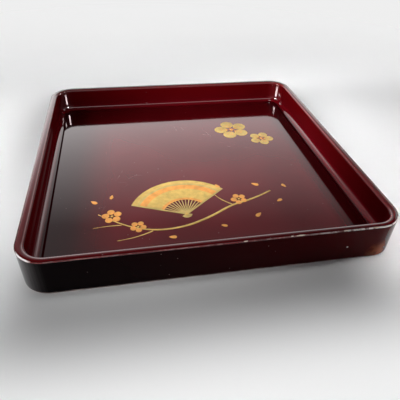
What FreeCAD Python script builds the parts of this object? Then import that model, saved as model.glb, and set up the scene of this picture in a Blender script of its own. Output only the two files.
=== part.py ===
import FreeCAD, Part
import math
import os

V = FreeCAD.Vector

# Square tray with rounded corners, in millimetres. The origin is on the table under
# the middle of the tray, +X to the right, +Y to the back and +Z up.

# Overall size, measured over the outer faces and up to the rim
tray_width = 303.0
tray_depth = 303.0
tray_height = 32.6

# Bent corner pieces, with a straight leg at each end that meets a wall board
corner_radius = 23.5
corner_leg = 40.0

# Wall section, the same in the boards and round the corners
wall_thickness = 6.4
rim_outer_round = 1.2
rim_inner_round = 2.4
rim_crown_slope = 15.0
foot_outer_chamfer = 0.4
foot_inner_chamfer = 0.5

# Floor board, seated in a rabbet that leaves a thin lip of the wall as the foot
foot_lip = 3.6
foot_recess = 1.8
floor_thickness = 5.0
floor_edge_gap = 0.2

# Loose tongues between the staves of the floor board
tongue_thickness = 1.4
tongue_width = 8.0
tongue_setback = 16.0
tongue_glue_gap = 0.2

# Loose tenons between the wall boards and the legs of the corner pieces
tenon_thickness = 2.0
tenon_height = 14.0
tenon_length = 22.0
tenon_glue_gap = 0.3

# Putty cove in the angle between the walls and the floor
cove_radius = 7.0

# Tapered eight-sided bamboo pegs, driven through the foot lip into the floor board
peg_sides = 8
peg_head_width = 2.0
peg_tip_width = 1.5
peg_length = 14.0
pegs_per_board = 4

floor_top = foot_recess + floor_thickness
floor_width = tray_width - 2 * (foot_lip + floor_edge_gap)
floor_depth = tray_depth - 2 * (foot_lip + floor_edge_gap)
floor_corner_radius = corner_radius - foot_lip - floor_edge_gap

# Every side is modelled as the front one, X along the wall and Y inwards from its
# outer face, and is then turned about Z and moved to its place.
sides = {
    "front": (tray_width, V(0, -tray_depth / 2, 0), 0),
    "right": (tray_depth, V(tray_width / 2, 0, 0), 90),
    "back": (tray_width, V(0, tray_depth / 2, 0), 180),
    "left": (tray_depth, V(-tray_width / 2, 0, 0), 270),
}

# Each corner joins the +X end of its first side to the -X end of its second
corners = {
    "front_right": ("front", "right"),
    "back_right": ("right", "back"),
    "back_left": ("back", "left"),
    "front_left": ("left", "front"),
}


def on_side(shape, side):
    length, centre, turn = sides[side]
    placed = shape.copy()
    placed.rotate(V(0, 0, 0), V(0, 0, 1), turn)
    placed.translate(centre)
    return placed


# Distance from the middle of a side to where its corner bend starts
def bend_start(side):
    return sides[side][0] / 2 - corner_radius


# Distance from the middle of a side to the end of its wall board
def board_end(side):
    return bend_start(side) - corner_leg


# Arc in the section plane. Angles run from the inward direction towards the top.
def section_arc(y, z, radius, start, end):
    points = []
    for angle in (start, (start + end) / 2, end):
        a = math.radians(angle)
        points.append(V(0, y + radius * math.cos(a), z + radius * math.sin(a)))
    return Part.Arc(*points).toShape()


# Closed face through points and arcs in order, joined by straight lines
def section_face(steps):
    spans = []
    for step in steps:
        if isinstance(step, V):
            spans.append((step, step, None))
        else:
            start = step.valueAt(step.FirstParameter)
            end = step.valueAt(step.LastParameter)
            spans.append((start, end, step))
    edges = []
    for i, (start, end, edge) in enumerate(spans):
        if edge:
            edges.append(edge)
        following = spans[(i + 1) % len(spans)][0]
        if end.distanceToPoint(following) > 1e-6:
            edges.append(Part.makeLine(end, following))
    return Part.Face(Part.Wire(edges))


# Length of a section along a side, between two distances from its middle
def straight_run(section, side, start, end):
    face = section.copy()
    face.translate(V(start, 0, 0))
    return on_side(face.extrude(V(end - start, 0, 0)), side)


# A section taken round the bend at the +X end of a side
def corner_bend(section, side):
    start = bend_start(side)
    face = section.copy()
    face.translate(V(start, 0, 0))
    return on_side(face.revolve(V(start, corner_radius, 0), V(0, 0, 1), 90), side)


# The rim is a low crown between its outer and inner rounds, all three arcs tangent
slope = math.radians(rim_crown_slope)
crown_width = wall_thickness - rim_outer_round - rim_inner_round
crown_radius = (crown_width / math.sin(slope) + rim_outer_round + rim_inner_round) / 2
crown_y = rim_outer_round + (crown_radius - rim_outer_round) * math.sin(slope)
crown_z = tray_height - crown_radius
outer_z = crown_z + (crown_radius - rim_outer_round) * math.cos(slope)
inner_z = crown_z + (crown_radius - rim_inner_round) * math.cos(slope)
inner_y = wall_thickness - rim_inner_round

wall_section = section_face([
    V(0, foot_outer_chamfer, 0),
    V(0, 0, foot_outer_chamfer),
    section_arc(rim_outer_round, outer_z, rim_outer_round, 180, 90 + rim_crown_slope),
    section_arc(crown_y, crown_z, crown_radius, 90 + rim_crown_slope, 90 - rim_crown_slope),
    section_arc(inner_y, inner_z, rim_inner_round, 90 - rim_crown_slope, 0),
    V(0, wall_thickness, floor_top),
    V(0, foot_lip, floor_top),
    V(0, foot_lip, foot_inner_chamfer),
    V(0, foot_lip - foot_inner_chamfer, 0),
])

cove_section = section_face([
    V(0, wall_thickness, floor_top),
    section_arc(wall_thickness + cove_radius, floor_top + cove_radius, cove_radius, 180, 270),
])


# Tenon, or its mortise, across the joint at a distance from the middle of a side
def tenon_across(side, joint, length):
    middle_z = (floor_top + tray_height) / 2
    low = V(joint - length / 2, (wall_thickness - tenon_thickness) / 2, middle_z - tenon_height / 2)
    return on_side(Part.makeBox(length, tenon_thickness, tenon_height, low), side)


# Peg from the outer face of a side into the middle of the floor board's edge
def peg_at(side, x):
    rings = []
    for y, width in ((0, peg_head_width), (peg_length, peg_tip_width)):
        points = []
        for i in range(peg_sides + 1):
            a = 2 * math.pi * (i + 0.5) / peg_sides
            height = foot_recess + floor_thickness / 2
            points.append(V(x + width / 2 * math.cos(a), y, height + width / 2 * math.sin(a)))
        rings.append(Part.makePolygon(points))
    return on_side(Part.makeLoft(rings, True, True), side)


nodes = {}

# One peg in the middle of each corner leg, the others evenly along the board
pegs = []
for side in sides:
    board = 2 * board_end(side)
    for i in range(pegs_per_board):
        pegs.append(peg_at(side, board * ((i + 0.5) / pegs_per_board - 0.5)))
    for leg_middle in (-board_end(side) - corner_leg / 2, board_end(side) + corner_leg / 2):
        pegs.append(peg_at(side, leg_middle))
all_pegs = Part.makeCompound(pegs)
nodes["floor_pegs"] = all_pegs

mortise_length = tenon_length + 2 * tenon_glue_gap
for side in sides:
    end = board_end(side)
    wall = straight_run(wall_section, side, -end, end).cut(all_pegs)
    for joint in (-end, end):
        wall = wall.cut(tenon_across(side, joint, mortise_length))
    nodes[side + "_wall"] = wall

for corner, (first, second) in corners.items():
    first_leg = straight_run(wall_section, first, board_end(first), bend_start(first))
    second_leg = straight_run(wall_section, second, -bend_start(second), -board_end(second))
    piece = first_leg.fuse([corner_bend(wall_section, first), second_leg]).removeSplitter()
    piece = piece.cut(all_pegs)
    for side, other, joint in ((first, second, board_end(first)), (second, first, -board_end(second))):
        piece = piece.cut(tenon_across(side, joint, mortise_length))
        nodes[side + "_wall_" + other + "_tenon"] = tenon_across(side, joint, tenon_length)
    nodes[corner + "_corner"] = piece

cove_runs = []
for side in sides:
    cove_runs.append(straight_run(cove_section, side, -bend_start(side), bend_start(side)))
    cove_runs.append(corner_bend(cove_section, side))
nodes["cove_fillet"] = cove_runs[0].fuse(cove_runs[1:]).removeSplitter()

# The floor board is cut into staves along its length, with a loose tongue in each joint
floor_corner = V(-floor_width / 2, -floor_depth / 2, foot_recess)
floor_board = Part.makeBox(floor_width, floor_depth, floor_thickness, floor_corner)
upright = []
for edge in floor_board.Edges:
    if abs(edge.tangentAt(edge.FirstParameter).z) > 0.99:
        upright.append(edge)
floor_board = floor_board.makeFillet(floor_corner_radius, upright).cut(all_pegs)

stave_names = ["front", "middle", "back"]
stave_depth = floor_depth / len(stave_names)
joints = {"front": -stave_depth / 2, "back": stave_depth / 2}
tongue_length = floor_width - 2 * tongue_setback


# Tongue, or its groove, centred on a joint between two staves
def tongue_at(joint, gap):
    length = tongue_length + 2 * gap
    width = tongue_width + 2 * gap
    low_z = foot_recess + (floor_thickness - tongue_thickness) / 2
    return Part.makeBox(length, width, tongue_thickness, V(-length / 2, joint - width / 2, low_z))


for name, joint in joints.items():
    floor_board = floor_board.cut(tongue_at(joint, tongue_glue_gap))
    nodes["floor_tongue_" + name] = tongue_at(joint, 0)

for i, name in enumerate(stave_names):
    low = V(-floor_width / 2, -floor_depth / 2 + i * stave_depth, foot_recess)
    stave = floor_board.common(Part.makeBox(floor_width, stave_depth, floor_thickness, low))
    nodes["floor_stave_" + name] = stave

os.makedirs("parts", exist_ok=True)
for name, shape in nodes.items():
    shape.exportStep(os.path.join("parts", name + ".step"))
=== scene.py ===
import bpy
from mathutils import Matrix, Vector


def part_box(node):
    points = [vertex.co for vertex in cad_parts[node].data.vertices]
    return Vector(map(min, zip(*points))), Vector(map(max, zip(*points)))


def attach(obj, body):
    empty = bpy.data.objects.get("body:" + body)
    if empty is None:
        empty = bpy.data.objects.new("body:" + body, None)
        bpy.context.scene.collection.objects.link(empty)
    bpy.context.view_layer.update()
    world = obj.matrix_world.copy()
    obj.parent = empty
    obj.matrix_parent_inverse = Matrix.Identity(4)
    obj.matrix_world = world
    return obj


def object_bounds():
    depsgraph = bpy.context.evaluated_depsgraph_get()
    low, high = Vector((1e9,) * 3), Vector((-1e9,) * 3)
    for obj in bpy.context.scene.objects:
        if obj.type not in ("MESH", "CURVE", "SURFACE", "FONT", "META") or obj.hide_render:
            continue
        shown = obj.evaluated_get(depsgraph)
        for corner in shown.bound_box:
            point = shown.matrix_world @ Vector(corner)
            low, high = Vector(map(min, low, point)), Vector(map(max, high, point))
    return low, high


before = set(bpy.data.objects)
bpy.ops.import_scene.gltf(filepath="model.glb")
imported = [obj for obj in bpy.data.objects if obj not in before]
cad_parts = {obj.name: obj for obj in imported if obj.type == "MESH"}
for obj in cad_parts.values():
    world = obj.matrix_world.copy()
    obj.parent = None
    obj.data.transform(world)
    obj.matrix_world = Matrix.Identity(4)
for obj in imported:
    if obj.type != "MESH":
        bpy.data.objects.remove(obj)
cadBox = [list(corner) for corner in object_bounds()]

import math

import bmesh
import bpy
from mathutils import Matrix, Vector, noise

# The object's lengths are millimetres, and finishPiece brings a mesh to metres.
# Lamps and camera are given in metres.
metre = 0.001
weldWithin = 0.0005


def finishPiece(name, bm, materials, slotName):
    bmesh.ops.remove_doubles(bm, verts=bm.verts, dist=weldWithin)
    bmesh.ops.recalc_face_normals(bm, faces=bm.faces)
    bmesh.ops.scale(bm, vec=(metre, metre, metre), verts=bm.verts)
    mesh = bpy.data.meshes.new(name)
    bm.to_mesh(mesh)
    bm.free()
    for material in materials:
        mesh.materials.append(material)
    piece = bpy.data.objects.new(name, mesh)
    bpy.context.scene.collection.objects.link(piece)
    if slotName:
        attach(piece, "root")
    return piece


def shadeSmooth(piece):
    for polygon in piece.data.polygons:
        polygon.use_smooth = True


def onlyVerts(geom):
    return [g for g in geom if isinstance(g, bmesh.types.BMVert)]


def onlyEdges(geom):
    return [g for g in geom if isinstance(g, bmesh.types.BMEdge)]


def onlyFaces(geom):
    return [g for g in geom if isinstance(g, bmesh.types.BMFace)]


# A line is drawn with one vertex as the pen: straight strokes are extruded, arcs are spun
def penLine(bm, pen, offset, steps=1):
    for i in range(steps):
        pen = bmesh.ops.extrude_vert_indiv(bm, verts=[pen])["verts"][0]
        bmesh.ops.translate(bm, verts=[pen], vec=Vector(offset) / steps)
    return pen


# A layer, where one is given, rises to 1 in the middle of the arc
def penArc(bm, pen, centre, degrees, steps, layer=None):
    before = set(bm.verts)
    made = bmesh.ops.spin(bm, geom=[pen], cent=centre, axis=(1, 0, 0), angle=math.radians(degrees),
                          steps=steps, use_duplicate=False)
    if layer:
        drawn = [v for v in bm.verts if v not in before]
        for i, v in enumerate(drawn):
            v[layer] = math.sin(math.pi * (i + 1) / len(drawn))
    return onlyVerts(made["geom_last"])[0]


def sweepLine(bm, edges, offset, steps):
    for i in range(steps):
        made = bmesh.ops.extrude_edge_only(bm, edges=edges)["geom"]
        bmesh.ops.translate(bm, verts=onlyVerts(made), vec=Vector(offset) / steps)
        edges = onlyEdges(made)
    return edges


def sweepBend(bm, edges, centre, degrees, steps):
    verts = list({v for e in edges for v in e.verts})
    made = bmesh.ops.spin(bm, geom=verts + edges, cent=centre, axis=(0, 0, 1), angle=math.radians(degrees),
                          steps=steps, use_duplicate=False)
    return onlyEdges(made["geom_last"])


# Shader nodes: feeds gives each socket a number, a colour or another node's output
def feed(tree, node, feeds):
    for socket, value in feeds.items():
        if isinstance(value, bpy.types.NodeSocket):
            tree.links.new(value, node.inputs[socket])
        else:
            node.inputs[socket].default_value = value


def addNode(tree, kind, feeds=None, **settings):
    made = tree.nodes.new(kind)
    for key, value in settings.items():
        setattr(made, key, value)
    feed(tree, made, feeds or {})
    return made


def startMaterial(name):
    material = bpy.data.materials.new(name)
    material.use_nodes = True
    tree = material.node_tree
    coords = addNode(tree, "ShaderNodeTexCoord").outputs["Object"]
    return material, tree, tree.nodes["Principled BSDF"], coords


def maths(tree, operation, a, b=0.0):
    return addNode(tree, "ShaderNodeMath", {0: a, 1: b}, operation=operation).outputs[0]


def times(tree, a, b):
    return maths(tree, "MULTIPLY", a, b)


def larger(tree, a, b):
    return maths(tree, "MAXIMUM", a, b)


def spread(tree, value, low, high, toLow=0.0, toHigh=1.0):
    return addNode(tree, "ShaderNodeMapRange", {"Value": value, "From Min": low, "From Max": high,
                                                "To Min": toLow, "To Max": toHigh}).outputs[0]


# The same between two places along an axis
def ramp(tree, axis, low, high, toLow=0.0, toHigh=1.0):
    return spread(tree, axis, metre * low, metre * high, toLow, toHigh)


def mixColour(tree, factor, first, second):
    made = addNode(tree, "ShaderNodeMix", {0: factor, 6: first, 7: second}, data_type="RGBA")
    return made.outputs[2]


def grain(tree, coords, scale, detail=3.0, roughness=0.5, distortion=0.0):
    feeds = {"Vector": coords, "Scale": scale, "Detail": detail, "Roughness": roughness,
             "Distortion": distortion}
    return addNode(tree, "ShaderNodeTexNoise", feeds).outputs["Fac"]


# 1 within the inner radius of a point, 0 past the outer one
def spotMask(tree, coords, at, inner, outer):
    centre = tuple(metre * a for a in at)
    gap = addNode(tree, "ShaderNodeVectorMath", {0: coords, 1: centre}, operation="DISTANCE")
    return spread(tree, gap.outputs["Value"], metre * outer, metre * inner)


def splitAxes(tree, vector):
    return addNode(tree, "ShaderNodeSeparateXYZ", {0: vector}).outputs


def addBump(tree, height, strength, distance):
    feeds = {"Height": height, "Strength": strength, "Distance": metre * distance}
    return addNode(tree, "ShaderNodeBump", feeds).outputs[0]


def colour(red, green, blue):
    return (red, green, blue, 1.0)


# Bare boards under the lacquer
coreWood = {
    "pale": colour(0.82, 0.67, 0.57), "ring": colour(0.68, 0.50, 0.39),
    "keyPale": colour(0.44, 0.27, 0.13), "keyRing": colour(0.29, 0.16, 0.07),
    "bambooPale": colour(0.60, 0.45, 0.20), "bambooRing": colour(0.45, 0.31, 0.12),
    "alongGrain": 5.0, "acrossGrain": 95.0, "ringShare": 0.75,
}


def boardMaterial(name, along, pale, ring):
    material, tree, shader, coords = startMaterial(name)
    stretch = [coreWood["acrossGrain"]] * 3
    stretch["xyz".index(along)] = coreWood["alongGrain"]
    laid = addNode(tree, "ShaderNodeMapping", {"Vector": coords, "Scale": stretch}).outputs[0]
    rings = grain(tree, laid, scale=1.6, detail=4.0, roughness=0.55, distortion=0.6)
    fibres = grain(tree, laid, scale=9.0, detail=2.0)
    share = coreWood["ringShare"]
    tone = maths(tree, "ADD", times(tree, rings, share), times(tree, fibres, 1 - share))
    hue = mixColour(tree, spread(tree, tone, 0.38, 0.62), pale, ring)
    rough = spread(tree, fibres, 0.3, 0.7, toLow=0.5, toHigh=0.72)
    feed(tree, shader, {"Base Color": hue, "Roughness": rough,
                        "Normal": addBump(tree, tone, strength=0.25, distance=0.2)})
    return material


puttyFill = {"base": colour(0.20, 0.075, 0.035), "fleck": colour(0.33, 0.16, 0.08)}


def puttyMaterial():
    material, tree, shader, coords = startMaterial("cove_putty")
    meal = grain(tree, coords, scale=900.0, detail=4.0, roughness=0.65)
    hue = mixColour(tree, spread(tree, meal, 0.45, 0.7), puttyFill["base"], puttyFill["fleck"])
    rough = spread(tree, meal, 0.3, 0.7, toLow=0.55, toHigh=0.75)
    feed(tree, shader, {"Base Color": hue, "Roughness": rough,
                        "Normal": addBump(tree, meal, strength=0.3, distance=0.1)})
    return material


boardsAlongX = boardMaterial("cypress_along_x", "x", coreWood["pale"], coreWood["ring"])
boardsAlongY = boardMaterial("cypress_along_y", "y", coreWood["pale"], coreWood["ring"])
hardwoodKey = boardMaterial("hardwood_key", "x", coreWood["keyPale"], coreWood["keyRing"])
bambooPeg = boardMaterial("bamboo_peg", "y", coreWood["bambooPale"], coreWood["bambooRing"])
covePutty = puttyMaterial()

for nodeName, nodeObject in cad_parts.items():
    if nodeName == "cove_fillet":
        finish = covePutty
    elif nodeName == "floor_pegs":
        finish = bambooPeg
    elif "tenon" in nodeName or "tongue" in nodeName:
        finish = hardwoodKey
    elif nodeName in ("left_wall", "right_wall"):
        finish = boardsAlongY
    else:
        finish = boardsAlongX
    for materialSlot in nodeObject.material_slots:
        materialSlot.material = finish
print("core boards, putty, keys and pegs finished:", len(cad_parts))


# The boards that the lacquer lies on, measured in the frame
def boxOf(nodeName):
    return [Vector(corner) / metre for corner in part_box(nodeName)]


trayLow, trayHigh = (Vector(corner) / metre for corner in cadBox)
wallLow, wallHigh = boxOf("front_wall")
staveLow, staveHigh = boxOf("floor_stave_middle")
coveHigh = boxOf("cove_fillet")[1]

# Lacquer over the whole tray: one closed skin that follows the wall section all round
lacquerCoat = {
    "width": trayHigh.x - trayLow.x, "depth": trayHigh.y - trayLow.y, "height": trayHigh.z,
    "cornerRadius": 23.5, "wall": wallHigh.y - wallLow.y,
    "rimOuterRound": 1.2, "rimInnerRound": 2.4, "crownSlope": 15.0,
    "footRound": 0.4, "footLip": 3.6, "footInnerChamfer": 0.5, "footRecess": staveLow.z,
    "floorTop": staveHigh.z, "coveRadius": coveHigh.z - staveHigh.z,
    "film": 0.05, "insideFilm": 0.15,
    "floorMargin": 6.0, "coveFoot": 1.2,        # rings of the floor beside the cove
    "columns": 64, "bendSteps": 24, "coveSteps": 16, "innerWallSteps": 6, "innerRoundSteps": 9,
    "roundSteps": 8, "outerWallSteps": 8, "weld": 0.001,
    # polish: number of the dullest lacquer on each side, and the degrees to the next brighter one
    "outerShine": 6, "innerShine": 7, "outerPolishEvery": 6.0, "innerPolishEvery": 3.6,
    "uprightWithin": 3.0, "coveDullAt": 22.0, "covePolishEvery": 1.8,
    "footDullFrom": 85.0, "footDullBelow": 1.0,
}
shineLevels = [0.5, 0.36, 0.26, 0.18, 0.11, 0.07, 0.04, 0.002]     # a lacquer for each, bright to dull

# Chips out of the front edge, a little under the rim: middle, length along the edge, width
rimChips = {
    "chips": [(59.0, 8.0, 0.45), (52.2, 2.0, 0.40), (15.6, 3.4, 0.40), (96.5, 4.0, 0.40),
              (122.0, 6.0, 0.40), (131.0, 3.0, 0.40)],
    "inset": 0.4, "drop": 0.5, "depth": 0.3, "around": 2.2, "cuts": 5,
    "raggedness": 0.3, "raggedScales": (0.9, 2.3), "steepness": 3.0,
}


def drawSection(bm, coat, arris, outside):
    film, insideFilm = coat["film"], coat["insideFilm"]
    crownSlope = coat["crownSlope"]
    slope = math.radians(crownSlope)
    outerRound, innerRound = coat["rimOuterRound"], coat["rimInnerRound"]
    crownWidth = coat["wall"] - outerRound - innerRound
    crownRadius = (crownWidth / math.sin(slope) + outerRound + innerRound) / 2
    crownZ = coat["height"] - crownRadius
    front = -coat["depth"] / 2

    # centres of the arcs
    cove = (0, front + coat["wall"] + coat["coveRadius"], coat["floorTop"] + coat["coveRadius"])
    innerTop = (0, front + coat["wall"] - innerRound, crownZ + (crownRadius - innerRound) * math.cos(slope))
    crown = (0, front + outerRound + (crownRadius - outerRound) * math.sin(slope), crownZ)
    outerTop = (0, front + outerRound, crownZ + (crownRadius - outerRound) * math.cos(slope))
    foot = (0, front + coat["footRound"], coat["footRound"])

    # from the floor outwards, up the inside, over the rim, down the outside and under the foot
    floorZ = coat["floorTop"] + insideFilm
    pen = bmesh.ops.create_vert(bm, co=(0, cove[1] + coat["floorMargin"], floorZ))["vert"][0]
    pen = penLine(bm, pen, (0, coat["coveFoot"] - coat["floorMargin"], 0), 2)
    pen = penLine(bm, pen, (0, -coat["coveFoot"], 0))
    pen = penArc(bm, pen, cove, -90, coat["coveSteps"])
    wallTop = (0, innerTop[1] + innerRound + film - pen.co.y, innerTop[2] - pen.co.z)
    pen = penLine(bm, pen, wallTop, coat["innerWallSteps"])
    pen = penArc(bm, pen, innerTop, 90 - crownSlope, coat["innerRoundSteps"], arris)
    pen = penArc(bm, pen, crown, 2 * crownSlope, coat["roundSteps"])
    inside = set(bm.verts)
    pen = penArc(bm, pen, outerTop, 90 - crownSlope, coat["roundSteps"], arris)
    pen = penLine(bm, pen, (0, 0, foot[2] - pen.co.z), coat["outerWallSteps"])
    pen = penArc(bm, pen, foot, 90, coat["roundSteps"], arris)
    pen = penLine(bm, pen, (0, coat["footLip"] - coat["footInnerChamfer"] - coat["footRound"], 0), 2)
    pen = penLine(bm, pen, (0, coat["footInnerChamfer"] + insideFilm, coat["footInnerChamfer"] + film))
    pen = penLine(bm, pen, (0, 0, coat["footRecess"] - insideFilm - pen.co.z))
    penLine(bm, pen, (0, coat["floorMargin"], 0), 2)
    for v in bm.verts:
        v[outside] = 0.0 if v in inside else 1.0


def chipEdge(bm, coat, x, length, width):
    at = Vector((x, rimChips["inset"] - coat["depth"] / 2, coat["height"] - rimChips["drop"]))
    around = rimChips["around"]
    reach = length / 2 + around
    level = 1e-4
    along = []
    for e in bm.edges:
        a, b = (v.co - at for v in e.verts)
        if abs(a.z - b.z) < level and abs(a.y - b.y) < level and max(abs(a.x), abs(b.x)) < reach:
            if abs(a.y) < around and abs(a.z) < around:
                along.append(e)
    bmesh.ops.subdivide_edges(bm, edges=along, cuts=rimChips["cuts"])
    bm.normal_update()
    for v in bm.verts:
        gap = v.co - at
        if abs(gap.x) < reach and abs(gap.y) < around and abs(gap.z) < around:
            ragged = sum(rimChips["raggedness"] * noise.noise(v.co * s) for s in rimChips["raggedScales"])
            inside = 1 - math.hypot(2 * gap.x / length, math.hypot(gap.y, gap.z) / width) + ragged
            if inside > 0:
                v.co -= v.normal * rimChips["depth"] * min(1.0, rimChips["steepness"] * inside)


# Upright walls mirror the floor only faintly, and bends and cove more and more as they turn. The
# inner bends at the front stay dull, and so does a line along the foot of the cove.
def polish(bm, coat, outside, straightX, straightY):
    for f in bm.faces:
        at = f.calc_center_median()
        outer = all(v[outside] for v in f.verts)
        side = "outer" if outer else "inner"
        lean = math.degrees(math.asin(min(1.0, abs(f.normal.z))))
        inCove = not outer and coat["floorTop"] < at.z < coat["floorTop"] + coat["coveRadius"]
        if lean < coat["uprightWithin"] or inCove:
            past = (max(0, abs(at.x) - straightX), max(0, abs(at.y) - straightY))
            turned = math.degrees(math.atan2(min(past), max(past))) if outer or at.y > 0 else 0.0
            steps = turned / coat[side + "PolishEvery"]
            steps += max(0.0, lean - coat["coveDullAt"]) / coat["covePolishEvery"]
            f.material_index = max(0, coat[side + "Shine"] - int(steps))
        fromEdge = min(coat["width"] / 2 - abs(at.x), coat["depth"] / 2 - abs(at.y))
        atFoot = fromEdge - coat["wall"] - coat["coveRadius"] < coat["coveFoot"]
        flat = lean > coat["footDullFrom"] and at.z < coat["floorTop"] + coat["footDullBelow"]
        if flat and atFoot and not outer:
            f.material_index = coat["innerShine"]


def buildCoat(coat):
    bm = bmesh.new()
    for name in ("arris", "outside"):
        bm.verts.layers.float.new(name)
    arris, outside = (bm.verts.layers.float[name] for name in ("arris", "outside"))
    drawSection(bm, coat, arris, outside)
    straightX = coat["width"] / 2 - coat["cornerRadius"]
    straightY = coat["depth"] / 2 - coat["cornerRadius"]
    edges = sweepLine(bm, list(bm.edges), (straightX, 0, 0), coat["columns"])
    edges = sweepBend(bm, edges, (straightX, -straightY, 0), 90, coat["bendSteps"])
    sweepLine(bm, edges, (0, straightY, 0), coat["columns"])
    for axis in ("X", "Y"):
        bmesh.ops.mirror(bm, geom=bm.verts[:] + bm.edges[:] + bm.faces[:], matrix=Matrix(),
                         merge_dist=coat["weld"], axis=axis)
    bmesh.ops.remove_doubles(bm, verts=bm.verts, dist=coat["weld"])
    openEdges = [e for e in bm.edges if e.is_boundary]
    middle = (coat["floorTop"] + coat["footRecess"]) / 2
    above = [e for e in openEdges if e.verts[0].co.z > middle]
    below = [e for e in openEdges if e.verts[0].co.z < middle]
    for ring in (above, below):
        bmesh.ops.edgeloop_fill(bm, edges=ring)
    bmesh.ops.recalc_face_normals(bm, faces=bm.faces)
    polish(bm, coat, outside, straightX, straightY)
    for chip in rimChips["chips"]:
        chipEdge(bm, coat, *chip)
    return bm


# Places are a point with an inner and an outer radius
lacquerLook = {
    "deep": colour(0.078, 0.0013, 0.0033),
    "lively": colour(0.108, 0.0019, 0.0048),
    "paintedShade": colour(0.011, 0.0004, 0.0008),     # painted shade: the floor darker beside the left, right and back walls
    # axis, where it starts, where it is full, strength
    "paintedShadeBeside": [("X", 113, 129, 0.95), ("X", -80, -118, 0.85), ("Y", 86, 106, 0.55)],
    "paintedShadeAbove": (0.8, 0.3),                   # the painted shade fades out above the floor
    "wallTop": colour(0.110, 0.0012, 0.0026),    # painted light: the colour lightens up the inner walls
    "wallFrom": 2.2, "wallTo": 1.6,              # over the floor, under the rim
    "rim": colour(0.080, 0.0011, 0.0022),
    "outer": colour(0.0022, 0.0009, 0.0012),     # painted shade: the outside near black
    "outerRed": colour(0.085, 0.0026, 0.0034),
    "redPlace": ((156, -148, 17), 8, 300), "redFalloff": 2.5,
    "thin": colour(0.20, 0.008, 0.010),          # where the film is thin over an edge
    "thinFalloff": 1.6,
    "worn": colour(0.80, 0.63, 0.59),            # rubbed through to the ground coat, and on the rim's outer edge a painted highlight line too
    "edgeWearAndHighlight": (-130, 100, 0.12, 0.40),         # more from left to right; wear and a painted highlight line
    "footWear": (1.4, 0.6, 0.0, 0.5),            # more towards the table
    "chalkAndHighlight": colour(0.93, 0.86, 0.85),           # chipped through to the white filler, and painted highlights on the front corners
    "knocksAndHighlightRight": ((143, -145, 32), 26, 84),
    "paintedHighlightLeft": ((-144.6, -144.6, 31.8), 5, 9),
    "knockFront": ((102, -151.5, 14), 0.3, 0.9),
    "amber": colour(0.40, 0.085, 0.030), "amberPlace": ((134, -149, 2.5), 3, 15),
    "dust": colour(0.34, 0.26, 0.26), "dustCells": 170.0, "dustShare": 0.45,
    "scratchCells": 55.0, "scratchBend": (0.05, 0.05, 0.0), "scratchShare": 0.5,
    # x, y, inner and outer radius
    "hairlines": [(-70, -19, 6, 17), (54, 26, 6, 19), (-81, -61, 5, 16), (30, 62, 5, 15), (-8, 75, 5, 22)],
    "gloss": 0.045, "smudges": 0.05, "markRoughness": 0.35,
    "refraction": 1.56,
    "sheenTint": colour(1.0, 0.84, 0.86),        # the film itself warms what it mirrors
}


def lacquerBody(tree, coords, axes, outside, look):
    floorTop, height = lacquerCoat["floorTop"], lacquerCoat["height"]
    innerRound, outerRound = lacquerCoat["rimInnerRound"], lacquerCoat["rimOuterRound"]
    cloud = grain(tree, coords, scale=11.0, roughness=0.55)
    body = mixColour(tree, spread(tree, cloud, 0.36, 0.66), look["deep"], look["lively"])
    # painted shade: the floor's colour is darkened beside the left, right and back walls
    beside = 0.0
    for axis, start, end, share in look["paintedShadeBeside"]:
        beside = larger(tree, beside, ramp(tree, axes[axis], start, end, 0.0, share))
    clear, full = look["paintedShadeAbove"]
    beside = times(tree, beside, ramp(tree, axes["Z"], floorTop + clear, floorTop + full))
    body = mixColour(tree, beside, body, look["paintedShade"])
    # painted light: the inner walls are lighter than the floor, more so towards the rim
    paintedLightUpWall = ramp(tree, axes["Z"], floorTop + look["wallFrom"], height - look["wallTo"])
    body = mixColour(tree, paintedLightUpWall, body, look["wallTop"])
    overRim = ramp(tree, axes["Z"], height - innerRound, height - outerRound)
    body = mixColour(tree, overRim, body, look["rim"])
    # painted shade over the whole outside, lifting to red towards the front-right corner
    shadeLiftedToRed = maths(tree, "POWER", spotMask(tree, coords, *look["redPlace"]), look["redFalloff"])
    return mixColour(tree, outside, body, mixColour(tree, shadeLiftedToRed, look["outer"], look["outerRed"]))


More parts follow.
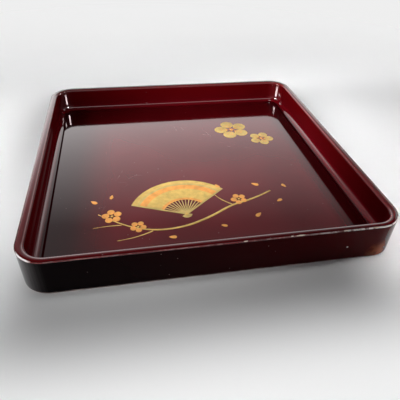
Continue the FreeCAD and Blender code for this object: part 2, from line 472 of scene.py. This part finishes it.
def lacquerWear(tree, coords, axes, outside, look, body):
    # thinner film on the edges of rim and foot, uneven along them
    arris = addNode(tree, "ShaderNodeAttribute", attribute_name="arris").outputs["Fac"]
    patchy = grain(tree, coords, scale=60.0, detail=4.0, roughness=0.6)
    uneven = spread(tree, patchy, 0.3, 0.65, toLow=0.25, toHigh=0.9)
    thinning = times(tree, maths(tree, "POWER", arris, look["thinFalloff"]), uneven)
    body = mixColour(tree, thinning, body, look["thin"])

    # the outer edge is rubbed in short lengths, and so is the foot. Along the rim's outer edge this pale
    # line is also a painted highlight.
    lengths = spread(tree, grain(tree, coords, scale=70.0, detail=5.0, roughness=0.7), 0.44, 0.60)
    rimEdgeWearAndHighlight = times(tree, spread(tree, arris, 0.6, 0.97), outside)
    rubbed = times(tree, rimEdgeWearAndHighlight, times(tree, lengths, ramp(tree, axes["X"], *look["edgeWearAndHighlight"])))
    underfoot = times(tree, ramp(tree, axes["Z"], *look["footWear"]), spread(tree, patchy, 0.3, 0.6))
    rubbed = larger(tree, rubbed, times(tree, underfoot, outside))
    body = mixColour(tree, rubbed, body, look["worn"])

    # a painted highlight on the front-left corner, chips with a painted highlight along the front-right
    # corner, and one chip in the front wall
    broken = spread(tree, grain(tree, coords, scale=210.0, roughness=0.6), 0.38, 0.52)
    right = times(tree, spotMask(tree, coords, *look["knocksAndHighlightRight"]), broken)
    corners = larger(tree, spotMask(tree, coords, *look["paintedHighlightLeft"]), right)
    corners = times(tree, times(tree, corners, spread(tree, arris, 0.1, 0.5)), outside)
    chipsAndHighlights = larger(tree, corners, spotMask(tree, coords, *look["knockFront"]))
    body = mixColour(tree, chipsAndHighlights, body, look["chalkAndHighlight"])
    mottled = spread(tree, grain(tree, coords, scale=140.0, detail=4.0, roughness=0.6), 0.36, 0.54)
    amber = times(tree, spotMask(tree, coords, *look["amberPlace"]), mottled)
    return mixColour(tree, amber, body, look["amber"]), rubbed


# Hairline scratches in a few places on the floor, and stray dust
def lacquerMarks(tree, coords, look):
    bend = addNode(tree, "ShaderNodeTexNoise", {"Vector": coords, "Scale": 30.0, "Detail": 1.0}).outputs
    warped = addNode(tree, "ShaderNodeVectorMath", {0: bend["Color"], 1: look["scratchBend"], 2: coords},
                     operation="MULTIPLY_ADD").outputs[0]
    cells = addNode(tree, "ShaderNodeTexVoronoi", {"Vector": warped, "Scale": look["scratchCells"]},
                    feature="DISTANCE_TO_EDGE", voronoi_dimensions="2D").outputs["Distance"]
    line = spread(tree, cells, 0.016, 0.006)
    zone = 0.0
    for x, y, inner, outer in look["hairlines"]:
        zone = larger(tree, zone, spotMask(tree, coords, (x, y, lacquerCoat["floorTop"]), inner, outer))
    broken = spread(tree, grain(tree, coords, scale=85.0, detail=2.0), 0.48, 0.6)
    scratch = times(tree, times(tree, times(tree, line, zone), broken), look["scratchShare"])
    specks = addNode(tree, "ShaderNodeTexVoronoi", {"Vector": coords, "Scale": look["dustCells"]}).outputs
    cellTone = addNode(tree, "ShaderNodeSeparateColor", {"Color": specks["Color"]}).outputs[0]
    few = spread(tree, cellTone, 0.80, 0.82)
    dust = times(tree, times(tree, spread(tree, specks["Distance"], 0.085, 0.04), few), look["dustShare"])
    return maths(tree, "ADD", scratch, dust)


def lacquerMaterial(name, look, shine):
    material, tree, shader, coords = startMaterial(name)
    axes = splitAxes(tree, coords)
    outside = addNode(tree, "ShaderNodeAttribute", attribute_name="outside").outputs["Fac"]
    body = lacquerBody(tree, coords, axes, outside, look)
    body, rubbed = lacquerWear(tree, coords, axes, outside, look, body)
    marks = lacquerMarks(tree, coords, look)
    body = mixColour(tree, marks, body, look["dust"])
    smear = grain(tree, coords, scale=22.0, detail=5.0, roughness=0.65, distortion=0.4)
    rough = maths(tree, "ADD", spread(tree, smear, 0.4, 0.75, 0.0, look["smudges"]), look["gloss"])
    dull = times(tree, maths(tree, "ADD", marks, rubbed), look["markRoughness"])
    ripple = grain(tree, coords, scale=45.0, detail=2.0)
    feed(tree, shader, {"Base Color": body, "Roughness": maths(tree, "ADD", rough, dull),
                        "IOR": look["refraction"], "Specular IOR Level": shine,
                        "Specular Tint": look["sheenTint"],
                        "Normal": addBump(tree, ripple, strength=0.06, distance=0.4)})
    return material


lacquers = [lacquerMaterial("red_brown_lacquer_" + str(i + 1), lacquerLook, shine)
            for i, shine in enumerate(shineLevels)]
skin = finishPiece("lacquer_coat", buildCoat(lacquerCoat), lacquers, "lacquer")
shadeSmooth(skin)
print("lacquer coat:", len(skin.data.polygons), "faces")


# Gold powder ornament on the floor
goldLook = {
    "gold": colour(0.78, 0.52, 0.13),
    "paleGold": colour(0.66, 0.47, 0.15),
    "orangeGold": colour(0.88, 0.37, 0.065),
    "worn": colour(0.16, 0.02, 0.012),
    "shade": 0.72, "refraction": 1.5, "metal": 0.45, "orangeMetal": 0.15,
    "sunk": 0.03,                                # the ornament's foot in the film
}


def goldMaterial(name, hue, metallic):
    material, tree, shader, coords = startMaterial(name)
    powder = grain(tree, coords, scale=2600.0, roughness=0.7)
    strewn = grain(tree, coords, scale=120.0, roughness=0.6)
    shade = tuple(goldLook["shade"] * c for c in hue[:3]) + (1.0,)
    body = mixColour(tree, spread(tree, strewn, 0.35, 0.65), shade, hue)
    patches = spread(tree, grain(tree, coords, scale=70.0, detail=4.0, roughness=0.6), 0.52, 0.66)
    bare = times(tree, spread(tree, powder, 0.60, 0.68), patches)
    body = mixColour(tree, bare, body, goldLook["worn"])
    rough = spread(tree, powder, 0.3, 0.7, toLow=0.34, toHigh=0.52)
    feed(tree, shader, {"Base Color": body, "Metallic": metallic, "IOR": goldLook["refraction"],
                        "Roughness": rough, "Normal": addBump(tree, powder, strength=0.2, distance=0.05)})
    return material


goldMaterials = [
    goldMaterial("gold_powder", goldLook["gold"], goldLook["metal"]),
    goldMaterial("pale_gold_powder", goldLook["paleGold"], goldLook["metal"]),
    goldMaterial("orange_gold_powder", goldLook["orangeGold"], goldLook["orangeMetal"]),
]
useGold, usePale, useOrange = 0, 1, 2

ornamentBase = lacquerCoat["floorTop"] + lacquerCoat["insideFilm"] - goldLook["sunk"]
fieldRise = 0.4                                  # share of its height that a relief's field stands up


def place(bm, verts, at, turn=0.0):
    bmesh.ops.rotate(bm, verts=verts, cent=(0, 0, 0), matrix=Matrix.Rotation(math.radians(turn), 3, "Z"))
    bmesh.ops.translate(bm, verts=verts, vec=(at[0], at[1], at[2] if len(at) > 2 else 0))


# A flat face is raised to a low relief with a border and a field of its own
def raiseRelief(bm, face, height, border, rimMaterial, fieldMaterial):
    lifted = onlyFaces(bmesh.ops.extrude_face_region(bm, geom=[face])["geom"])
    bmesh.ops.translate(bm, verts=list(lifted[0].verts), vec=(0, 0, height))
    for f in bm.faces:
        if f == lifted[0] or f == face or any(v in lifted[0].verts for v in f.verts):
            f.material_index = rimMaterial
    if border:
        bmesh.ops.inset_region(bm, faces=lifted, thickness=border, depth=0, use_even_offset=True)
        bmesh.ops.translate(bm, verts=list(lifted[0].verts), vec=(0, 0, height * fieldRise))
        lifted[0].material_index = fieldMaterial


def addDisc(bm, radius, height, border, rimMaterial, fieldMaterial, segments):
    before = set(bm.verts)
    bmesh.ops.create_circle(bm, cap_ends=True, segments=segments, radius=radius)
    face = [f for f in bm.faces if all(v not in before for v in f.verts)][0]
    raiseRelief(bm, face, height, border, rimMaterial, fieldMaterial)
    return [v for v in bm.verts if v not in before]


def addBar(bm, length, width, height, material):
    verts = bmesh.ops.create_cube(bm, size=1.0)["verts"]
    bmesh.ops.scale(bm, vec=(length, width, height), verts=verts)
    bmesh.ops.translate(bm, verts=verts, vec=(0, 0, height / 2))
    for f in {f for v in verts for f in v.link_faces}:
        f.material_index = material
    return verts


def repeatRound(bm, verts, count):
    faces = {f for v in verts for f in v.link_faces}
    edges = {e for v in verts for e in v.link_edges}
    bmesh.ops.spin(bm, geom=list(verts) + list(edges) + list(faces), cent=(0, 0, 0), axis=(0, 0, 1),
                   angle=2 * math.pi * (count - 1) / count, steps=count - 1, use_duplicate=True)


# Thread length and the middles are shares of a blossom's reach, the width, radii and border shares
# of a petal's radius
blossomForm = {
    "petals": 5, "petalSides": 28,
    "threadLength": 0.62, "threadMiddle": 0.62, "threadWidth": 0.055, "threadRise": 0.05,
    "tipMiddle": 0.97, "tipRadius": 0.11, "tipSides": 10,
    "eyeRadius": 0.34, "eyeBorder": 0.08, "eyeSides": 16, "eyeRise": 0.08,
}


def addBlossom(bm, blossom):
    form, petalRadius, reach = blossomForm, blossom["petal"], blossom["reach"]
    thread = blossom["thread"]
    before = set(bm.verts)
    petal = addDisc(bm, petalRadius, blossom["height"], blossom["border"],
                    blossom["edge"], blossom["field"], form["petalSides"])
    place(bm, petal, (0, reach))
    repeatRound(bm, petal, form["petals"])
    top = blossom["height"] * (1 + fieldRise)
    eyeTop = top + form["eyeRise"]
    for lean in blossom["stamens"]:
        bar = addBar(bm, reach * form["threadLength"], petalRadius * form["threadWidth"],
                     top + form["threadRise"], thread)
        tip = addDisc(bm, petalRadius * form["tipRadius"], eyeTop, 0, thread, thread, form["tipSides"])
        for part, middle in ((bar, form["threadMiddle"]), (tip, form["tipMiddle"])):
            place(bm, part, (reach * middle, 0))
            place(bm, part, (0, 0), 90 + lean)
            repeatRound(bm, part, form["petals"])
    addDisc(bm, petalRadius * form["eyeRadius"], eyeTop, petalRadius * form["eyeBorder"],
            thread, thread, form["eyeSides"])
    place(bm, [v for v in bm.verts if v not in before], (*blossom["at"], ornamentBase), blossom["turn"])


def buildBlossoms(blossoms, shared):
    bm = bmesh.new()
    for blossom in blossoms:
        addBlossom(bm, {**shared, **blossom})
    return bm


roundels = [
    {"at": (60.0, 66.0), "turn": 14.0, "petal": 7.6, "reach": 13.0, "border": 1.0},
    {"at": (90.0, 41.0), "turn": 44.0, "petal": 5.2, "reach": 8.9, "border": 0.7},
]
roundelFinish = {"height": 0.10, "edge": useGold, "field": usePale, "thread": useOrange,
                 "stamens": (-15, 0, 15)}
finishPiece("blossom_roundels", buildBlossoms(roundels, roundelFinish), goldMaterials, "gold_powder")

foldingFan = {
    "pivot": (-18.0, -84.0), "opening": 118.0, "turn": 40.0,
    "folds": 13, "pleat": 0.10, "thickness": 0.10,
    "rings": [21.0, 24.0, 38.0, 44.5, 47.0, 52.0],
    "bands": [useOrange, useGold, useOrange, usePale, useGold],
    "ribInner": -5.0, "ribWidth": 0.9, "ribRises": (0.14, 0.16), "guardWidth": 1.7, "guardRise": 0.26,
    "rivetRadius": 1.5, "rivetRise": 0.34, "rivetBorder": 0.4, "rivetSides": 16,
}


def buildFan(fan):
    bm = bmesh.new()
    rings, folds = fan["rings"], fan["folds"]
    pen = bmesh.ops.create_vert(bm, co=(rings[0], 0, fan["thickness"]))["vert"][0]
    for near, far in zip(rings, rings[1:]):
        pen = penLine(bm, pen, (far - near, 0, 0))
    sweepBend(bm, list(bm.edges), (0, 0, 0), fan["opening"], 2 * folds)
    step = math.radians(fan["opening"]) / (2 * folds)
    for v in bm.verts:
        if round(math.atan2(v.co.y, v.co.x) / step) % 2:      # every second fold stands up
            v.co.z += fan["pleat"]
    for f in bm.faces:
        reach = f.calc_center_median().to_2d().length
        f.material_index = fan["bands"][sum(reach > r for r in rings[1:-1])]
    lower = bmesh.ops.extrude_face_region(bm, geom=bm.faces[:])["geom"]
    for v in onlyVerts(lower):
        v.co.z = 0.0
    for i in range(folds + 1):
        end, width, rise = rings[0], fan["ribWidth"], fan["ribRises"][i % 2]
        if i in (0, folds):
            end, width, rise = rings[-1], fan["guardWidth"], fan["guardRise"]
        rib = addBar(bm, end - fan["ribInner"], width, rise, usePale)
        place(bm, rib, ((end + fan["ribInner"]) / 2, 0))
        place(bm, rib, (0, 0), fan["opening"] * i / folds)
    addDisc(bm, fan["rivetRadius"], fan["rivetRise"], fan["rivetBorder"], useGold, useGold,
            fan["rivetSides"])
    place(bm, bm.verts[:], (*fan["pivot"], ornamentBase), fan["turn"])
    return bm


finishPiece("folding_fan", buildFan(foldingFan), goldMaterials, "gold_powder")

# Branch strokes: points with the stroke's half width, thick to thin
plumBranch = {
    "strokes": [
        [(68, -60, 0.9), (50, -70, 1.0), (26, -76, 1.2), (4, -90, 1.3), (-22, -101, 1.1), (-50, -102, 0.9),
         (-76, -91, 0.7), (-96, -74, 0.4)],
        [(26, -76, 0.8), (16, -68, 0.6), (12, -58, 0.35)],
        [(-50, -102, 0.7), (-64, -109, 0.5), (-80, -110, 0.3)],
        [(-76, -91, 0.6), (-88, -90, 0.4), (-100, -92, 0.25)],
    ],
    "flatten": 0.22, "roundness": 2, "smoothness": 6,
}


def buildBranch(branch):
    curve = bpy.data.curves.new("branch_strokes", "CURVE")
    curve.dimensions = "3D"
    curve.bevel_depth = 1.0
    curve.bevel_resolution = branch["roundness"]
    curve.use_fill_caps = True
    curve.resolution_u = branch["smoothness"]
    for stroke in branch["strokes"]:
        spline = curve.splines.new("NURBS")
        spline.points.add(len(stroke) - 1)
        for point, (x, y, width) in zip(spline.points, stroke):
            point.co = (x, y, 0, 1)
            point.radius = width
        spline.order_u = 3
        spline.use_endpoint_u = True
    holder = bpy.data.objects.new("branch_strokes", curve)
    bpy.context.scene.collection.objects.link(holder)
    bpy.context.view_layer.update()
    mesh = bpy.data.meshes.new_from_object(holder.evaluated_get(bpy.context.evaluated_depsgraph_get()))
    bpy.data.objects.remove(holder)
    bm = bmesh.new()
    bm.from_mesh(mesh)
    bmesh.ops.scale(bm, vec=(1, 1, branch["flatten"]), verts=bm.verts)
    bmesh.ops.translate(bm, vec=(0, 0, ornamentBase), verts=bm.verts)
    for f in bm.faces:
        f.material_index = useGold
    return bm


finishPiece("plum_branch", buildBranch(plumBranch), goldMaterials, "gold_powder")

branchBlossoms = [
    {"at": (-84.0, -78.0), "turn": 8.0, "petal": 3.3, "reach": 5.7},
    {"at": (-62.0, -95.0), "turn": 40.0, "petal": 2.6, "reach": 4.5},
    {"at": (34.0, -69.0), "turn": 22.0, "petal": 2.9, "reach": 5.0},
]
branchFinish = {"height": 0.16, "border": 0.5, "edge": useOrange, "field": useOrange, "thread": useGold,
                "stamens": (0,)}
finishPiece("branch_blossoms", buildBlossoms(branchBlossoms, branchFinish), goldMaterials, "gold_powder")

# Loose petals: middle, turn, length
loosePetals = {
    "petals": [(56, -48, 150, 7.5), (72, -76, -155, 6.0), (18, -46, 115, 6.5), (-100, -56, 140, 7.0),
               (-84, -50, 80, 6.0), (-34, -112, 170, 6.5), (46, -94, 40, 7.0), (84, -54, -60, 6.0),
               (12, -104, 160, 5.5)],
    "height": 0.14, "border": 0.09, "slimness": 0.52, "taper": 0.75, "sides": 20,
}


def buildPetals(loose):
    bm = bmesh.new()
    for x, y, turn, length in loose["petals"]:
        petal = addDisc(bm, 0.5, loose["height"], loose["border"], useOrange, useOrange, loose["sides"])
        bmesh.ops.scale(bm, vec=(length, loose["slimness"] * length, 1), verts=petal)
        for v in petal:
            v.co.y *= 1 - loose["taper"] * v.co.x / length          # narrow at one end
        place(bm, petal, (x, y, ornamentBase), turn)
    return bm


finishPiece("loose_petals", buildPetals(loosePetals), goldMaterials, "gold_powder")
print("gold ornament laid")


# The room is dim, but pale round the horizon where it is seen or mirrored
room = {"dim": 0.03, "horizon": 0.86, "above": 0.04, "paleUpTo": 17.0, "dimFrom": 31.0}


def seenOrMirrored(tree):
    rays = addNode(tree, "ShaderNodeLightPath").outputs
    mirrored = larger(tree, rays["Is Glossy Ray"], rays["Is Transmission Ray"])
    return larger(tree, rays["Is Camera Ray"], mirrored)


def sineOf(degrees):
    return math.sin(math.radians(degrees))


world = bpy.data.worlds.new("studio_air")
bpy.context.scene.world = world
world.use_nodes = True
tree = world.node_tree
upwards = splitAxes(tree, addNode(tree, "ShaderNodeTexCoord").outputs["Generated"])["Z"]
paleAir = spread(tree, upwards, sineOf(room["paleUpTo"]), sineOf(room["dimFrom"]),
                 room["horizon"], room["above"])
strength = spread(tree, seenOrMirrored(tree), 0.0, 1.0, room["dim"], paleAir)
feed(tree, tree.nodes["Background"], {"Color": colour(1.0, 1.0, 1.0), "Strength": strength})

# Pale floor under the tray, which melts into the pale air further out
studioFloor = {"half": 6000.0, "plainTo": 330.0, "airFrom": 760.0, "under": 0.02,
               "pale": colour(0.89, 0.89, 0.89), "shade": colour(0.85, 0.85, 0.855),
               "roughness": 0.9, "shine": 0.1}


def floorMaterial(floor):
    material, tree, shader, coords = startMaterial("pale_floor")
    hue = mixColour(tree, grain(tree, coords, scale=3.0, detail=2.0), floor["pale"], floor["shade"])
    feed(tree, shader, {"Base Color": hue, "Roughness": floor["roughness"],
                        "Specular IOR Level": floor["shine"]})
    near = spotMask(tree, coords, (0, 0, 0), floor["plainTo"], floor["airFrom"])
    away = times(tree, seenOrMirrored(tree), maths(tree, "SUBTRACT", 1.0, near))
    horizon = room["horizon"]
    air = addNode(tree, "ShaderNodeEmission", {"Color": colour(horizon, horizon, horizon)}).outputs[0]
    melt = addNode(tree, "ShaderNodeMixShader", {0: away, 1: shader.outputs[0], 2: air}).outputs[0]
    tree.links.new(melt, tree.nodes["Material Output"].inputs["Surface"])
    material.cycles.emission_sampling = "NONE"          # it is seen, but lights nothing
    return material


bm = bmesh.new()
bmesh.ops.create_grid(bm, x_segments=1, y_segments=1, size=studioFloor["half"])
bmesh.ops.translate(bm, verts=bm.verts, vec=(0, 0, -lacquerCoat["film"] - studioFloor["under"]))
finishPiece("studio_floor", bm, [floorMaterial(studioFloor)], None)


# A lamp without body leaves the diffuse light alone, and one without gloss isn't mirrored
def addLamp(name, kind, lamp, at, aim, power, **settings):
    data = bpy.data.lights.new(name, kind)
    data.energy = power
    for key, value in settings.items():
        setattr(data, key, value)
    made = bpy.data.objects.new(name, data)
    bpy.context.scene.collection.objects.link(made)
    made.location = at
    made.rotation_euler = (Vector(aim) - Vector(at)).to_track_quat("-Z", "Y").to_euler()
    made.visible_camera = False
    made.visible_diffuse = lamp.get("body", True)
    made.visible_glossy = lamp.get("gloss", True)
    return made


# Upward and sideways fade a panel from one share of its face to another: from, to, first and last
# strength. A panel with a glow is brightest in its middle.
def addPanel(name, lamp):
    width, height = lamp["size"]
    made = addLamp(name, "AREA", lamp, lamp["at"], lamp["aim"], lamp["level"] * math.pi * width * height,
                   shape="RECTANGLE", size=width, size_y=height, spread=math.radians(lamp.get("fan", 180)))
    made.data.use_nodes = True
    tree = made.data.node_tree
    axes = splitAxes(tree, addNode(tree, "ShaderNodeNewGeometry").outputs["Parametric"])
    fade = lamp.get("glow", 1.0)
    for key, axis in (("upward", "Y"), ("sideways", "X")):
        if key in lamp:
            fade = times(tree, fade, spread(tree, axes[axis], *lamp[key]))
    if "glow" in lamp:
        for axis in "XY":
            outward = maths(tree, "ABSOLUTE", maths(tree, "SUBTRACT", axes[axis], 0.5))
            fade = times(tree, fade, spread(tree, outward, 0.5, 0.1))      # from its edge inwards
    feed(tree, tree.nodes["Emission"], {"Strength": fade})


softboxes = {
    "backSoftbox": {"at": (-0.004, 1.417, 0.951), "aim": (-0.151, 0.015, 0), "size": (2.5, 1.25),
                    "level": 1.3, "upward": (0.31, 0.73, 2.5, 0.42),
                    "sideways": (0.166, 0.702, 0.48, 0.85)},
    "rightStrip": {"at": (1.09, 0.58, 0.66), "aim": (0, 0, 0), "size": (0.5, 0.32), "level": 1.5},
    "frontStrip": {"at": (0.18, -0.9, 1.15), "aim": (0.05, 0.1, 0), "size": (1.5, 0.4), "level": 2.6,
                   "body": False},
    "overheadSoftbox": {"at": (0, 0.05, 1.4), "aim": (0, 0.05, 0), "size": (1.2, 0.4), "level": 1.0,
                        "glow": 6.0, "gloss": False},
}
for name, lamp in softboxes.items():
    addPanel(name, lamp)

# Gridded lights point straight down at the floor round the tray. The right one overlaps its edge.
floorLights = {
    "floorLightFront": {"middle": (0, -0.66), "size": (2.4, 0.9), "level": 0.74,
                        "sideways": (0.375, 0.667, 1.08, 0.88)},
    "floorLightLeft": {"middle": (-0.64, 0), "size": (0.92, 0.4), "level": 0.70},
    "floorLightRight": {"middle": (0.615, 0), "size": (0.97, 0.4), "level": 0.5,
                        "upward": (0.1, 0.9, 1.6, 0.5)},
    "floorLightBack": {"middle": (0, 0.65), "size": (2.4, 0.9), "level": 0.47},
}
floorLightHeight = 0.5
floorLightFan = 12
for name, lamp in floorLights.items():
    at = (*lamp["middle"], floorLightHeight)
    addPanel(name, {**lamp, "at": at, "aim": (*lamp["middle"], 0), "fan": floorLightFan})


# Spots stand round the tray at every bearing and height given, in degrees
spotDistance = 1.25


def addSpots(name, spots):
    stands = [(bearing, height) for bearing in spots["bearings"] for height in spots["heights"]]
    for i, (bearing, height) in enumerate(stands):
        flat = spotDistance * math.cos(math.radians(height))
        at = (flat * math.sin(math.radians(bearing)), flat * math.cos(math.radians(bearing)),
              spotDistance * math.sin(math.radians(height)))
        addLamp(name + "_" + str(i + 1), "SPOT", spots, at, spots["aim"], spots["power"], spot_blend=1.0,
                spot_size=math.radians(spots["cone"]), shadow_soft_size=spots["softness"])


# The key and the washes light the inside of the tray, and the glints show in its two back corners
washes = {"softness": 0.07, "gloss": False}
glints = {"softness": 0.035, "body": False}
spotSets = {
    "key_spot": {**washes, "bearings": [-123], "heights": [24, 30, 37, 45], "power": 29.0, "cone": 15.0,
                 "aim": (0.02, 0.03, 0.01)},
    "back_wash": {**washes, "bearings": [180], "heights": [18], "power": 14.0, "cone": 13.0,
                  "aim": (-0.03, 0.145, 0.016)},
    "left_wash": {**washes, "bearings": [90], "heights": [18], "power": 12.0, "cone": 15.0,
                  "aim": (-0.145, -0.02, 0.016)},
    "left_glint": {**glints, "bearings": [-112, -108, -104, -100, -96], "heights": [24, 26, 28],
                   "power": 8.0, "cone": 3.6, "aim": (0.137, 0.137, 0.004)},
    "right_glint": {**glints, "bearings": [129, 126, 123, 120], "heights": [26.5, 29, 31.5],
                    "power": 9.0, "cone": 3.8, "aim": (-0.137, 0.137, 0.004)},
    "side_glint": {**glints, "bearings": [74, 70, 66], "heights": [24.5, 27, 29.5],
                   "power": 4.0, "cone": 3.8, "aim": (-0.137, 0.137, 0.010)},
}
for name, spots in spotSets.items():
    addSpots(name, spots)

# Camera at the viewing angle of the photograph
viewpoint = {"at": (-0.0633, -0.3583, 0.2394), "aim": (-0.0027, -0.0654, 0.0068), "roll": 2.265,
             "lens": 36.32, "sensor": 36.0, "nearest": 0.01}
cameraData = bpy.data.cameras.new("camera")
cameraData.sensor_width = viewpoint["sensor"]
cameraData.lens = viewpoint["lens"]
cameraData.clip_start = viewpoint["nearest"]
camera = bpy.data.objects.new("camera", cameraData)
bpy.context.scene.collection.objects.link(camera)
towards = (Vector(viewpoint["aim"]) - Vector(viewpoint["at"])).to_track_quat("-Z", "Y").to_matrix().to_4x4()
camera.matrix_world = (Matrix.Translation(viewpoint["at"]) @ towards
                       @ Matrix.Rotation(math.radians(viewpoint["roll"]), 4, "Z"))
bpy.context.scene.camera = camera
bpy.context.scene.view_settings.view_transform = "Standard"
print("floor, lamps and camera in place")
